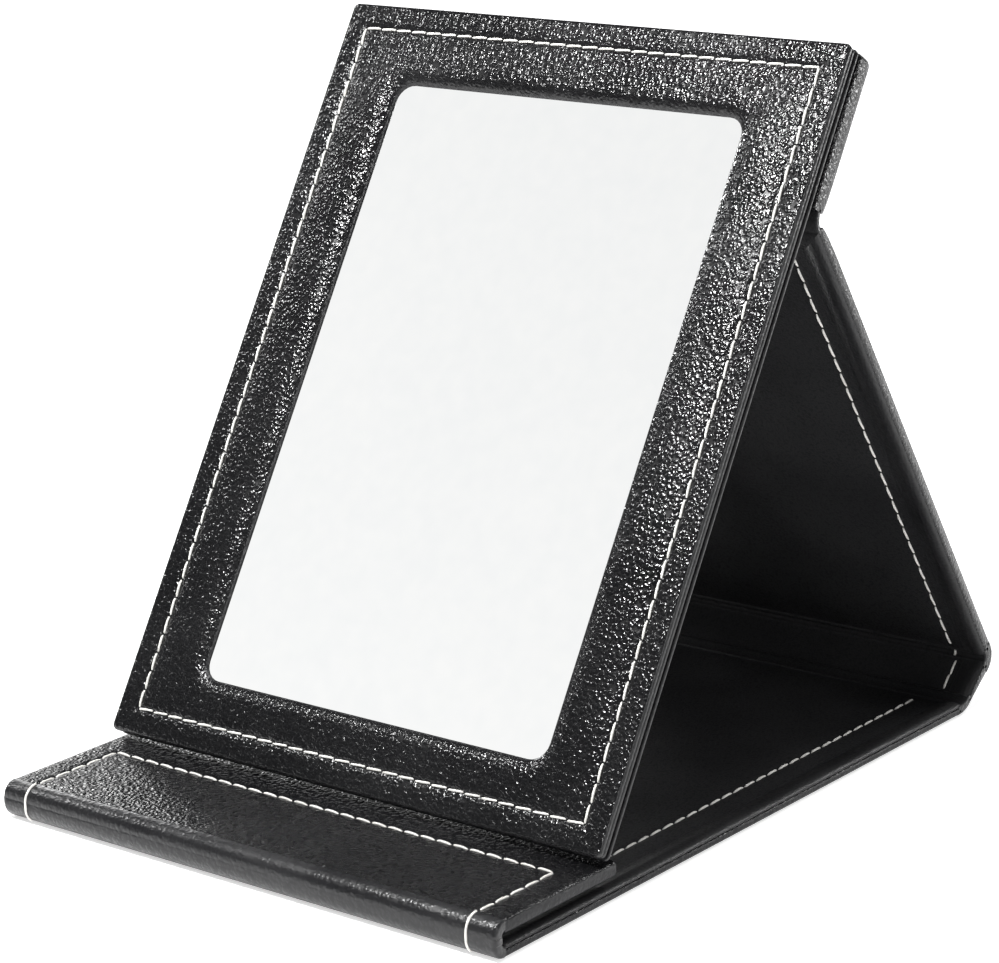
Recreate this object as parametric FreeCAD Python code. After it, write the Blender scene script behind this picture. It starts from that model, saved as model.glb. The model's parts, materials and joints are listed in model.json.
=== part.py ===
import FreeCAD, Part
import math
import os

# Folding makeup mirror, standing open: one folded cover of leather-clad boards
# that runs flap, front spine, base, rear spine, leg and upper back, with the
# framed mirror glued to the upper back and its foot standing on the flap.
# Millimetres and degrees; X is the width, +Y the rear, +Z up.

# Mirror panel
MIRROR_WIDTH = 130.0
MIRROR_HEIGHT = 169.0
LEAN = 31.3
WINDOW_SIDE_MARGIN = 19.7
WINDOW_FOOT_MARGIN = 15.4
WINDOW_TOP_MARGIN = 17.6
WINDOW_RADIUS = 4.0
CORNER_RADIUS = 1.4
GLASS_THICKNESS = 1.5
GLASS_OVERLAP = 5.0
TAPE_THICKNESS = 0.1
TAPE_WIDTH = 12.0
TAPE_STRIPS = 3
FRAME_BOARD = 0.8
MIDDLE_INSET = 0.6

# Layers of the folded cover
SKIN = 0.5
BOARD = 1.4
EDGE_WALL = 0.8
EDGE_SOFTNESS = 0.4
CREASE_THICKNESS = 1.2

# Lengths of the folded cover
UPPER_BACK_HEIGHT = 35.5
LEG_SHORTFALL = 3.1
BASE_SHORTFALL = 2.7
REAR_SPINE_WIDTH = 13.5
FLAP_BEFORE_FOOT = 30.8
FLAP_UNDER_FOOT = 6.5
FLAP_GAP = 3.0
CREASE_REACH = 2.0
FRONT_CREASE_REACH = 2.0

# Pad that glues the mirror to the upper back
PAD_THICKNESS = 2.0
PAD_SIDE_INSET = 12.0
PAD_END_INSET = 6.0

# Closing magnets in the flap and their steel strip in the upper back
MAGNET_DIAMETER = 10.0
MAGNET_THICKNESS = 1.0
MAGNET_SPACING = 76.0
KEEPER_HEIGHT = 14.0
KEEPER_SIDE_INSET = 16.0

# Stitches
STITCH_PITCH = 4.2
STITCH_LENGTH = 3.2
STITCH_WIDTH = 0.9
STITCH_HEIGHT = 0.35
MIRROR_STITCH_INSET = 5.7
FLAP_STITCH_INSET = 6.8
FLAP_STITCH_BEFORE_FOOT = 5.2
BASE_STITCH_INSET = 11.0
REAR_SPINE_STITCH_INSET = 6.8
LEG_STITCH_INSET = 8.6

# Clearances
BOARD_CLEARANCE = 0.1
GLASS_CLEARANCE = 0.3
MAGNET_CLEARANCE = 0.1
FOOT_CLEARANCE = 0.2

# Derived sizes
HALF_WIDTH = MIRROR_WIDTH / 2
PANEL = BOARD + 2 * SKIN
MIDDLE_THICKNESS = GLASS_THICKNESS + TAPE_THICKNESS
CLAD_THICKNESS = FRAME_BOARD + SKIN
MIRROR_BACK = PANEL + PAD_THICKNESS
MIDDLE_BACK = MIRROR_BACK + CLAD_THICKNESS
MIDDLE_FRONT = MIDDLE_BACK + MIDDLE_THICKNESS
MIRROR_FRONT = MIDDLE_FRONT + CLAD_THICKNESS
CREASE_HEIGHT = MIRROR_HEIGHT - UPPER_BACK_HEIGHT
LEG_LENGTH = CREASE_HEIGHT - LEG_SHORTFALL
BASE_LENGTH = MIRROR_HEIGHT - BASE_SHORTFALL
FLAP_TOP = 2 * PANEL + FLAP_GAP
WINDOW_HALF_WIDTH = HALF_WIDTH - WINDOW_SIDE_MARGIN


def heading(angle):
    """Unit step along a panel that rises at this angle from +Y."""
    return math.cos(math.radians(angle)), math.sin(math.radians(angle))


def ahead(point, angle, distance):
    """Point in the side view reached from another along a heading."""
    step_y, step_z = heading(angle)
    return point[0] + distance * step_y, point[1] + distance * step_z


def angle_between(start, end):
    """Heading in degrees from one point of the side view to another."""
    return math.degrees(math.atan2(end[1] - start[1], end[0] - start[0]))


def rear_meeting_point(first, first_reach, second, second_reach):
    """Rear one of the two points at these distances from two others."""
    gap = math.dist(first, second)
    along = (first_reach ** 2 - second_reach ** 2 + gap ** 2) / (2 * gap)
    aside = math.sqrt(first_reach ** 2 - along ** 2)
    line = angle_between(first, second)
    return ahead(ahead(first, line, along), line - 90, aside)


# Fold lines in the side view, at mid-thickness of the cover; the mirror's
# front foot edge is at Y = 0 until the whole mirror is centred.
MIRROR_ANGLE = 90 - LEAN
FRONT_LOW = (-FLAP_BEFORE_FOOT, PANEL / 2)
FRONT_HIGH = (-FLAP_BEFORE_FOOT, FLAP_TOP - PANEL / 2)
REAR_LOW = (FRONT_LOW[0] + BASE_LENGTH, PANEL / 2)
FOOT_Y = MIRROR_FRONT * math.cos(math.radians(LEAN))
FOOT_Z = FLAP_TOP + FOOT_CLEARANCE - MIRROR_BACK * math.sin(math.radians(LEAN))
FOOT = (FOOT_Y, FOOT_Z)
FOOT_MIDDLE = ahead(FOOT, MIRROR_ANGLE + 90, PANEL / 2)
TOP_FOLD = ahead(FOOT_MIDDLE, MIRROR_ANGLE, CREASE_HEIGHT)
REAR_HIGH = rear_meeting_point(REAR_LOW, REAR_SPINE_WIDTH, TOP_FOLD, LEG_LENGTH)
SPINE_ANGLE = angle_between(REAR_LOW, REAR_HIGH)
LEG_ANGLE = angle_between(REAR_HIGH, TOP_FOLD)


def upright_edges(body, y):
    """Edges of a plate that run through its thickness at this Y."""
    found = []
    for edge in body.Edges:
        first, last = edge.Vertexes[0].Point, edge.Vertexes[-1].Point
        upright = abs(first.z - last.z) > 1e-6
        if upright and abs(first.y - y) < 1e-6 and abs(last.y - y) < 1e-6:
            found.append(edge)
    return found


def plate(y0, y1, z0, z1, half_width, start_radius=0.0, end_radius=0.0):
    """Flat plate centred in X, with rounded corners at either end."""
    corner = FreeCAD.Vector(-half_width, y0, z0)
    body = Part.makeBox(2 * half_width, y1 - y0, z1 - z0, corner)
    for y, radius in ((y0, start_radius), (y1, end_radius)):
        if radius > 0:
            body = body.makeFillet(radius, upright_edges(body, y))
    return body


def softened(body, z):
    """The same body with its rim at this height rounded over."""
    rim = [edge for edge in body.Edges if all(abs(v.Z - z) < 1e-6 for v in edge.Vertexes)]
    return body.makeFillet(EDGE_SOFTNESS, rim)


def stitch_row(start, end, z):
    """Stitches lying on a face along a straight line, centred in its length."""
    length = math.dist(start, end)
    count = max(1, int(length / STITCH_PITCH))
    turn = angle_between(start, end)
    row = []
    for number in range(count):
        middle = ahead(start, turn, length / 2 + (number - (count - 1) / 2) * STITCH_PITCH)
        corner = FreeCAD.Vector(-STITCH_LENGTH / 2, -STITCH_WIDTH / 2, z)
        stitch = Part.makeBox(STITCH_LENGTH, STITCH_WIDTH, STITCH_HEIGHT, corner)
        stitch.rotate(FreeCAD.Vector(0, 0, 0), FreeCAD.Vector(0, 0, 1), turn)
        stitch.translate(FreeCAD.Vector(middle[0], middle[1], 0))
        row.append(stitch)
    return row


def stitch_path(points, z):
    """Stitches along each leg of an open path on a face."""
    stitches = []
    for start, end in zip(points, points[1:]):
        stitches += stitch_row(start, end, z)
    return stitches


def side_stitches(y0, y1, inset, z):
    """Two rows of stitches, one beside each long edge of a panel."""
    x = HALF_WIDTH - inset
    return stitch_row((-x, y0), (-x, y1), z) + stitch_row((x, y0), (x, y1), z)


def clad_panel(name, y0, y1, start_radius=0.0, end_radius=0.0):
    """Cover with turned edges, board inside it and lining over both.

    The outer face is at Z = 0 and the lining's face at Z = PANEL."""
    lining_back = SKIN + BOARD
    cover = plate(y0, y1, 0, lining_back, HALF_WIDTH, start_radius, end_radius)
    cover = softened(cover, 0)
    inner = HALF_WIDTH - EDGE_WALL
    pocket = plate(y0 + EDGE_WALL, y1 - EDGE_WALL, SKIN, PANEL, inner)
    inset = EDGE_WALL + BOARD_CLEARANCE
    board = plate(y0 + inset, y1 - inset, SKIN, lining_back, HALF_WIDTH - inset)
    lining = plate(y0, y1, lining_back, PANEL, HALF_WIDTH, start_radius, end_radius)
    return {
        name + "_cover": cover.cut(pocket),
        name + "_board": board,
        name + "_lining": lining,
    }


def flap_pieces():
    """Front flap, from its free rear edge to its fold."""
    end = FLAP_BEFORE_FOOT + FLAP_UNDER_FOOT - FRONT_CREASE_REACH
    pieces = clad_panel("flap", 0, end, CORNER_RADIUS, 0)
    x = HALF_WIDTH - FLAP_STITCH_INSET
    rear = FLAP_UNDER_FOOT + FLAP_STITCH_BEFORE_FOOT
    path = [(-x, end), (-x, rear), (x, rear), (x, end)]
    pieces["flap_stitching"] = Part.makeCompound(stitch_path(path, -STITCH_HEIGHT))
    magnets = []
    pockets = []
    for side in (-1, 1):
        centre = FreeCAD.Vector(side * MAGNET_SPACING / 2, end / 2, SKIN)
        magnets.append(Part.makeCylinder(MAGNET_DIAMETER / 2, MAGNET_THICKNESS, centre))
        hole = MAGNET_DIAMETER / 2 + MAGNET_CLEARANCE
        pockets.append(Part.makeCylinder(hole, MAGNET_THICKNESS + MAGNET_CLEARANCE, centre))
    pieces["flap_board"] = pieces["flap_board"].cut(Part.makeCompound(pockets))
    pieces["flap_magnets"] = Part.makeCompound(magnets)
    return pieces


def front_spine_pieces():
    """Narrow stiffened strip that stands up the front, skin outside."""
    start = FRONT_CREASE_REACH
    end = FRONT_HIGH[1] - FRONT_LOW[1] - FRONT_CREASE_REACH
    y = (start + end) / 2
    x = HALF_WIDTH - FLAP_STITCH_INSET
    half = STITCH_WIDTH / 2
    ties = []
    for side in (-1, 1):
        corner = FreeCAD.Vector(side * x - half, y - (end - start) / 2, -STITCH_HEIGHT)
        ties.append(Part.makeBox(STITCH_WIDTH, end - start, STITCH_HEIGHT, corner))
    return {
        "front_spine_skin": plate(start, end, 0, SKIN, HALF_WIDTH),
        "front_spine_strip": plate(start, end, SKIN, SKIN + BOARD, HALF_WIDTH),
        "front_spine_lining": plate(start, end, SKIN + BOARD, PANEL, HALF_WIDTH),
        "front_spine_stitching": Part.makeCompound(ties),
    }


def base_pieces():
    """Base board that lies on the table between the two spines."""
    start = FRONT_CREASE_REACH
    end = BASE_LENGTH - CREASE_REACH
    pieces = clad_panel("base", start, end)
    stitches = side_stitches(start, end, BASE_STITCH_INSET, PANEL)
    pieces["base_stitching"] = Part.makeCompound(stitches)
    return pieces


def rear_spine_pieces():
    """Strip that rises from the rear of the base to the foot of the leg."""
    start = CREASE_REACH
    end = REAR_SPINE_WIDTH - CREASE_REACH
    pieces = clad_panel("rear_spine", start, end)
    stitches = side_stitches(start, end, REAR_SPINE_STITCH_INSET, PANEL)
    stitches += side_stitches(start, end, REAR_SPINE_STITCH_INSET, -STITCH_HEIGHT)
    pieces["rear_spine_stitching"] = Part.makeCompound(stitches)
    return pieces


def leg_pieces():
    """Leg that props the mirror up from behind."""
    start = CREASE_REACH
    end = LEG_LENGTH - CREASE_REACH
    pieces = clad_panel("leg", start, end)
    stitches = side_stitches(start, end, LEG_STITCH_INSET, PANEL)
    stitches += side_stitches(start, end, LEG_STITCH_INSET, -STITCH_HEIGHT)
    pieces["leg_stitching"] = Part.makeCompound(stitches)
    return pieces


def upper_back_pieces():
    """Upper back panel above the top fold, its steel strip and its glue pad."""
    start = CREASE_HEIGHT + CREASE_REACH
    pieces = clad_panel("upper_back", start, MIRROR_HEIGHT, 0, CORNER_RADIUS)
    x = HALF_WIDTH - LEG_STITCH_INSET
    top = MIRROR_HEIGHT - MIRROR_STITCH_INSET
    path = [(-x, start), (-x, top), (x, top), (x, start)]
    pieces["upper_back_stitching"] = Part.makeCompound(stitch_path(path, -STITCH_HEIGHT))
    middle = (start + MIRROR_HEIGHT) / 2
    half_height = KEEPER_HEIGHT / 2
    half_width = HALF_WIDTH - KEEPER_SIDE_INSET
    keeper_top = SKIN + MAGNET_THICKNESS
    keeper = plate(middle - half_height, middle + half_height, SKIN, keeper_top, half_width)
    half_height += MAGNET_CLEARANCE
    half_width += MAGNET_CLEARANCE
    keeper_top += MAGNET_CLEARANCE
    slot = plate(middle - half_height, middle + half_height, SKIN, keeper_top, half_width)
    pieces["upper_back_board"] = pieces["upper_back_board"].cut(slot)
    pieces["upper_back_keeper"] = keeper
    pad_start = start + PAD_END_INSET
    pad_end = MIRROR_HEIGHT - PAD_END_INSET
    pad_half_width = HALF_WIDTH - PAD_SIDE_INSET
    pieces["mounting_pad"] = plate(pad_start, pad_end, PANEL, MIRROR_BACK, pad_half_width)
    return pieces


def mirror_outline(inset, z0, z1):
    """Plate with the mirror's rounded outline drawn in by an inset."""
    radius = CORNER_RADIUS - inset
    return plate(inset, MIRROR_HEIGHT - inset, z0, z1, HALF_WIDTH - inset, radius, radius)


def window(growth, z0, z1, radius):
    """Block as large as the mirror's window plus a growth on each side."""
    y0 = WINDOW_FOOT_MARGIN - growth
    y1 = MIRROR_HEIGHT - WINDOW_TOP_MARGIN + growth
    half_width = WINDOW_HALF_WIDTH + growth
    return plate(y0, y1, z0, z1, half_width, radius, radius)


def frame_pieces():
    """Leather-clad front frame around the glass, with its stitching."""
    front_of_board = MIDDLE_FRONT + FRAME_BOARD
    facing = mirror_outline(0, MIDDLE_FRONT, MIRROR_FRONT)
    channel = mirror_outline(EDGE_WALL, MIDDLE_FRONT, front_of_board)
    lip = window(EDGE_WALL, MIDDLE_FRONT, front_of_board, WINDOW_RADIUS + EDGE_WALL)
    opening = window(0, MIDDLE_FRONT, MIRROR_FRONT, WINDOW_RADIUS)
    inset = EDGE_WALL + BOARD_CLEARANCE
    board = mirror_outline(inset, MIDDLE_FRONT, front_of_board)
    hole = window(inset, MIDDLE_FRONT, front_of_board, WINDOW_RADIUS + inset)
    x = HALF_WIDTH - MIRROR_STITCH_INSET
    low = MIRROR_STITCH_INSET
    high = MIRROR_HEIGHT - MIRROR_STITCH_INSET
    path = [(-x, low), (x, low), (x, high), (-x, high), (-x, low)]
    return {
        "mirror_facing": softened(facing.cut(channel.cut(lip)).cut(opening), MIRROR_FRONT),
        "mirror_frame_board": board.cut(hole),
        "mirror_stitching": Part.makeCompound(stitch_path(path, MIRROR_FRONT)),
    }


def glass_pieces():
    """Mirror glass, the tape behind it and the spacer frame around it."""
    front_of_tape = MIDDLE_BACK + TAPE_THICKNESS
    glass = window(GLASS_OVERLAP, front_of_tape, MIDDLE_FRONT, WINDOW_RADIUS)
    space = window(GLASS_OVERLAP + GLASS_CLEARANCE, MIDDLE_BACK, MIDDLE_FRONT, WINDOW_RADIUS)
    spacer = mirror_outline(MIDDLE_INSET, MIDDLE_BACK, MIDDLE_FRONT).cut(space)
    gap = MIRROR_HEIGHT / (TAPE_STRIPS + 1)
    strips = []
    for number in range(TAPE_STRIPS):
        y = gap * (number + 1) - TAPE_WIDTH / 2
        strips.append(plate(y, y + TAPE_WIDTH, MIDDLE_BACK, front_of_tape, WINDOW_HALF_WIDTH))
    return {
        "mirror_glass": glass,
        "glass_spacer": spacer,
        "glass_tape": Part.makeCompound(strips),
    }


def mirror_back_pieces():
    """Leather-clad board that closes the mirror from behind."""
    cover = softened(mirror_outline(0, MIRROR_BACK, MIDDLE_BACK), MIRROR_BACK)
    board_back = MIRROR_BACK + SKIN
    pocket = mirror_outline(EDGE_WALL, board_back, MIDDLE_BACK)
    return {
        "mirror_back_cover": cover.cut(pocket),
        "mirror_back_board": mirror_outline(EDGE_WALL + BOARD_CLEARANCE, board_back, MIDDLE_BACK),
    }


def crease(fold, angle_before, angle_after, reach, thickness):
    """Leather band bent round a fold, from one panel's end to the next."""
    bend = angle_after - angle_before
    radius = reach / math.tan(math.radians(abs(bend) / 2))
    inner_side = math.copysign(90, bend)
    centre = ahead(ahead(fold, angle_before, -reach), angle_before + inner_side, radius)
    edges = []
    ends = []
    for offset in (-thickness / 2, thickness / 2):
        marks = []
        for part in (0, 0.5, 1):
            outward = angle_before + bend * part - inner_side
            y, z = ahead(centre, outward, radius + offset)
            marks.append(FreeCAD.Vector(-HALF_WIDTH, y, z))
        edges.append(Part.Arc(*marks).toShape())
        ends.append((marks[0], marks[-1]))
    for side in (0, 1):
        edges.append(Part.makeLine(ends[0][side], ends[1][side]))
    section = Part.Face(Part.Wire(Part.sortEdges(edges)[0]))
    return section.extrude(FreeCAD.Vector(MIRROR_WIDTH, 0, 0))


def placed(pieces, start, angle):
    """Pieces of a panel set up at a fold line, heading at an angle."""
    for shape in pieces.values():
        shape.translate(FreeCAD.Vector(0, 0, -PANEL / 2))
        shape.rotate(FreeCAD.Vector(0, 0, 0), FreeCAD.Vector(1, 0, 0), angle)
        shape.translate(FreeCAD.Vector(0, start[0], start[1]))
    return pieces


def all_pieces():
    """Every piece in its place, the mirror's foot edge at Y = 0."""
    pieces = {}
    flap_edge = (FLAP_UNDER_FOOT, FRONT_HIGH[1])
    pieces.update(placed(flap_pieces(), flap_edge, 180))
    pieces.update(placed(front_spine_pieces(), FRONT_HIGH, 270))
    pieces.update(placed(base_pieces(), FRONT_LOW, 0))
    pieces.update(placed(rear_spine_pieces(), REAR_LOW, SPINE_ANGLE))
    pieces.update(placed(leg_pieces(), REAR_HIGH, LEG_ANGLE))
    for group in (upper_back_pieces, frame_pieces, glass_pieces, mirror_back_pieces):
        pieces.update(placed(group(), FOOT_MIDDLE, MIRROR_ANGLE))
    pieces["crease_flap"] = crease(FRONT_HIGH, 180, 270, FRONT_CREASE_REACH, PANEL)
    pieces["crease_base_front"] = crease(FRONT_LOW, 270, 360, FRONT_CREASE_REACH, PANEL)
    rear_folds = {
        "crease_base_rear": (REAR_LOW, 0, SPINE_ANGLE),
        "crease_leg_foot": (REAR_HIGH, SPINE_ANGLE, LEG_ANGLE),
        "crease_leg_top": (TOP_FOLD, LEG_ANGLE, MIRROR_ANGLE),
    }
    for name, fold in rear_folds.items():
        pieces[name] = crease(*fold, CREASE_REACH, CREASE_THICKNESS)
    return pieces


PIECES = all_pieces()
FRONT_END = min(shape.BoundBox.YMin for shape in PIECES.values())
REAR_END = max(shape.BoundBox.YMax for shape in PIECES.values())
CENTRE_Y = (FRONT_END + REAR_END) / 2

os.makedirs("parts", exist_ok=True)
for node, solid in PIECES.items():
    solid.translate(FreeCAD.Vector(0, -CENTRE_Y, 0))
    solid.exportStep("parts/" + node + ".step")
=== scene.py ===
import bmesh
import bpy
import json
import math
from mathutils import Matrix, Vector


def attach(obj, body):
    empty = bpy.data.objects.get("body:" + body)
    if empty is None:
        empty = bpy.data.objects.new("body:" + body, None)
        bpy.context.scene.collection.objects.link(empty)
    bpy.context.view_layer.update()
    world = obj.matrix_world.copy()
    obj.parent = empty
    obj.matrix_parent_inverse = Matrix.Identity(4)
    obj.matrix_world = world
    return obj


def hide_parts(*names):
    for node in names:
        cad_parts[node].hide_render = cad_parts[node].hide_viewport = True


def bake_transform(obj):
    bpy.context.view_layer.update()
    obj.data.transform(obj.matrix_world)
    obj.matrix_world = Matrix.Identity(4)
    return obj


# Folding makeup mirror in black grained leather. Panels are modelled flat in
# millimetres, outer face at Z = 0, and then stood up at their fold lines.
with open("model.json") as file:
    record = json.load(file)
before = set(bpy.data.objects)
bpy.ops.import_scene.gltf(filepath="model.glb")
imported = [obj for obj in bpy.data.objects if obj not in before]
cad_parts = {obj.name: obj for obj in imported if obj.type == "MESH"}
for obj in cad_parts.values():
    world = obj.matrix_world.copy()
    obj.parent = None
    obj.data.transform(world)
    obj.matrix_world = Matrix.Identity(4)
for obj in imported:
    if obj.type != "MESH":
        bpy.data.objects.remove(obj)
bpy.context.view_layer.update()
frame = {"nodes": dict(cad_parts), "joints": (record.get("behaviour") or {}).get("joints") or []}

MM = 0.001
HALF_WIDTH = 65.0
PANEL = 2.4
PLAIN_CORNER = 0.05
ROUND_CORNER = 1.4
CORNER_STEPS = 6
SQUARE_CORNERS = (PLAIN_CORNER, PLAIN_CORNER)
ROUND_CORNERS = (ROUND_CORNER, ROUND_CORNER)
# Share of an edge section at the two ends of a panel
SQUARE_ENDS = (0, 0)
ROUND_ENDS = (1, 1)
SMOOTH_ANGLE = math.radians(40)
# Tolerances in millimetres: on the same level, on the same side of a ring, in line, and to be merged
CLOSE = 1e-3
RING_CLOSE = 5e-3
IN_LINE = 1e-6
MERGE = 1e-4

# Mirror, measured from its foot and from the outer face of the upper back
MIRROR_HEIGHT = 169.0
TOP_FOLD_HEIGHT = 133.5
MIRROR_FRONT = 8.6
WINDOW_SIDE = 45.3
WINDOW_ENDS = (15.4, 151.4)
WINDOW_RADIUS = 4.0
WINDOW_RADIUS_GROWTH = 0.6

# Panel ends, measured along each panel
BASE_ENDS = (2.0, 164.3)
REAR_SPINE_ENDS = (2.0, 11.5)
LEG_ENDS = (2.0, 128.4)
UPPER_BACK_ENDS = (135.5, 169.0)
FLAP_ENDS = (0.0, 35.3)
FRONT_SPINE_ENDS = (2.0, 3.4)
FLAP_LENGTH = 37.3
PAD_ENDS = (141.5, 163.0)
PAD_HALF_WIDTH = 53.0
PAD_CORNERS = (1.0, 1.0)

# Stitch lines, measured in from the side edges, and ends of those that turn across a panel
MIRROR_SEAM = 5.7
FLAP_SEAM = 6.8
BASE_SEAM = 11.0
REAR_SPINE_SEAM = 6.8
LEG_SEAM = 8.6
LEG_FOOT_SEAM = 7.7
UPPER_BACK_SEAM_ENDS = (139.5, MIRROR_HEIGHT - MIRROR_SEAM)
FLAP_SEAM_ENDS = (34.3, 11.7)

STITCH_PITCH = 4.2
STITCH_LENGTH = 4.05
STITCH_SLANT = math.radians(4)
# Stitch shape as (share of its half length, depth below its middle, thickness)
STITCH_SHAPE = ((1.0, 0.42, 0.5), (0.86, 0.17, 0.8), (0.55, 0.03, 0.96))
STITCH_SINK = 0.12
MIRROR_STITCH_SINK = 0.08
THREAD_RADIUS = 0.26
THREAD_SIDES = 8
SPINE_THREAD_LEVEL = -0.05
SPINE_THREAD_OVERLAP = 0.1
SPINE_THREAD_TAPER = 0.5
SPINE_THREAD_GROWTH = 1.1

# Edge sections as (distance in from the edge, height)
COVER_EDGE = (
    (2.5, 0.0), (1.3, 0.02), (0.6, 0.12), (0.2, 0.36), (0.0, 0.8),
    (0.0, 1.3), (0.1, 1.62), (0.32, 1.8), (0.6, 1.86),
)
COVER_POCKET = ((0.8, 1.8), (0.8, 0.5))
UPPER_BACK_EDGE = (*COVER_EDGE[:5], (0.0, 3.3), (0.1, 3.7), (0.3, 3.92), (0.55, 3.98))
UPPER_BACK_POCKET = ((0.8, 3.9), (0.8, 0.5))
FLAP_EDGE = (*COVER_EDGE[:5], (0.0, 2.1), (0.1, 2.55), (0.3, 2.82), (0.55, 2.9))
FLAP_POCKET = ((0.8, 2.8), (0.8, 0.5))
THICK_EDGES = {"upper_back": (UPPER_BACK_EDGE, UPPER_BACK_POCKET), "flap": (FLAP_EDGE, FLAP_POCKET)}
THICK_EDGE_WALL = 0.85
LINING_EDGE = (
    (0.9, 1.9), (0.3, 1.91), (0.05, 2.0), (0.0, 2.08), (0.1, 2.24), (0.35, 2.42), (0.7, 2.58),
    (1.1, 2.72), (1.6, 2.83), (2.1, 2.86), (2.6, 2.82), (3.2, 2.7), (3.8, 2.56), (4.5, 2.44),
    (5.2, 2.4),
)
LINING_LEAST_SHARE = 0.12
FRONT_SPINE_EDGE = (
    (0.8, 0.0), (0.4, 0.06), (0.1, 0.23), (-0.06, 0.49), (-0.15, 0.8),
    (-0.15, 2.05), (0.0, 2.3), (0.3, 2.4),
)
BACK_EDGE = (
    (2.5, 4.4), (1.3, 4.42), (0.6, 4.5), (0.2, 4.7), (0.0, 5.0),
    (0.0, 5.3), (0.1, 5.5), (0.3, 5.62), (0.55, 5.66), (0.8, 5.6), (0.8, 4.9),
)
FACING_EDGE = (
    (0.8, 8.1), (0.8, 7.38), (0.5, 7.34), (0.22, 7.4), (0.0, 7.64), (0.0, 8.0), (0.1, 8.3),
    (0.32, 8.5), (0.7, 8.6), (1.3, 8.64), (2.4, 8.66), (3.8, 8.66), (4.5, 8.62), (5.1, 8.52),
    (5.42, 8.38), (5.7, 8.32), (5.98, 8.38), (6.3, 8.52), (6.9, 8.62), (8.0, 8.66), (9.6, 8.66),
)
SPACER_EDGE = (
    (1.3, 5.74), (0.7, 5.8), (0.36, 5.98), (0.2, 6.3), (0.2, 6.7), (0.36, 7.02), (0.7, 7.2), (1.3, 7.26),
)
PAD_EDGE = (
    (0.7, 2.4), (0.2, 2.46), (-0.15, 2.8), (-0.3, 3.2), (-0.3, 3.6), (-0.15, 4.0),
    (0.2, 4.34), (0.7, 4.4),
)
# Edge sections round the window as (distance out from it, height)
WINDOW_EDGE = (
    (5.0, 8.66), (3.6, 8.68), (2.8, 8.66), (2.1, 8.58), (1.45, 8.42), (0.85, 8.16),
    (0.38, 7.84), (0.1, 7.54), (0.0, 7.36), (0.3, 7.33), (0.8, 7.36), (0.8, 8.1),
)
SPACER_WINDOW = ((5.3, 7.28), (5.3, 5.72))
# Height up to which a shoulder at a panel's end may be wider than the roundness of its sides
SHOULDER_HEIGHT = 1.0
# A face whose normal rises less than this is part of a rim
RIM_RISE = 0.75
TURN_IN_WIDTH = 5.2

# Leather drawn in along a stitch line, as (from, to, depth) beside it
SEAM_PRESS = ((0.0, 0.2, 0.3), (0.2, 0.6, 0.19), (0.6, 1.1, 0.04))
SEAM_CUTS = (-1.5, -0.8, -0.35, 0.0, 0.35, 0.8, 1.5)
# How far the padded covers swell out at their start and end, and how long each end takes to rise
SWELLS = {
    "rear_spine": (0.0, 1.0, 0.0, 0.0),
    "leg": (1.0, 1.0, 0.0, 10.0),
    "upper_back": (0.7, 0.7, 7.0, 2.5),
}
NO_SWELL = (0.0, 0.0, 0.0, 0.0)
FOOT_SWELL = 1.0
SWELL_STEPS = (0.06, 0.18, 0.36, 0.6, 1.0)
# Heights between which the swell fades out up the side of a cover
SWELL_FULL = 0.3
SWELL_OVER = 0.9
# Padding of the frame's side bars as (distance in from the side edge, height), and where it fades out
CROWN = (
    (6.3, 0.0), (8.0, 0.22), (9.6, 0.42), (12.0, 0.52), (14.7, 0.52), (16.1, 0.44), (16.9, 0.3),
    (17.6, 0.16), (18.3, 0.04), (19.7, 0.0),
)
CROWN_ENDS = (8.0, 161.0)
CROWN_RISE = 18.0
CROWN_STEPS = (0.0, 0.2, 0.35, 0.5, 0.65, 0.8, 1.0)

# Place of each fold line, and how far its fold swings to lie flat
FOLDS = {joint["name"]: Vector(joint["pos_m"]) for joint in frame["joints"]}
SWINGS = {joint["name"]: math.radians(joint["range_deg"][1]) for joint in frame["joints"]}
SPINE_ANGLE = SWINGS["rear_spine_fold"]
LEG_ANGLE = SPINE_ANGLE + SWINGS["leg_fold"]
MIRROR_ANGLE = LEG_ANGLE - SWINGS["mirror_fold"]

# Bodies before and after each fold, and how far the leather turns between them
FOLD_BODIES = {
    "flap_fold": ("flap", "front_spine"),
    "front_spine_fold": ("front_spine", "base"),
    "rear_spine_fold": ("base", "rear_spine"),
    "leg_fold": ("rear_spine", "leg"),
    "mirror_fold": ("leg", "mirror"),
}
FOLD_BENDS = {
    "flap_fold": math.pi / 2,
    "front_spine_fold": math.pi / 2,
    "rear_spine_fold": SWINGS["rear_spine_fold"],
    "leg_fold": SWINGS["leg_fold"],
    "mirror_fold": -SWINGS["mirror_fold"],
}
# Outer face, inner face and straight tail of the leather at each fold, from the middle of the panels
FOLD_SECTIONS = {
    "flap_fold": (-1.2, 1.2, 0.0),
    "front_spine_fold": (-1.2, 1.2, 0.0),
    "rear_spine_fold": (-1.17, 1.19, 0.8),
    "leg_fold": (-1.17 - FOOT_SWELL, 1.19, 0.8),
    "mirror_fold": (-0.6, 1.0, 0.6),
}
# Threads across folds as (fold, distance in from the side, level, share of the fold)
FOLD_THREADS = {
    "crease_flap_thread": ("flap_fold", FLAP_SEAM, -1.25, 1.0),
    "crease_base_front_thread": ("front_spine_fold", FLAP_SEAM, -1.25, 0.6),
    "crease_leg_foot_thread": ("leg_fold", LEG_FOOT_SEAM, 1.2, 1.0),
}
FOLD_REACH = 2.0
FOLD_STEP = math.radians(6)
FOLD_LEAST_STEPS = 6
BAND_OUTER_CORNER = 0.8
BAND_INNER_CORNER = 0.35
BAND_CORNER_STEPS = 4

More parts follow.
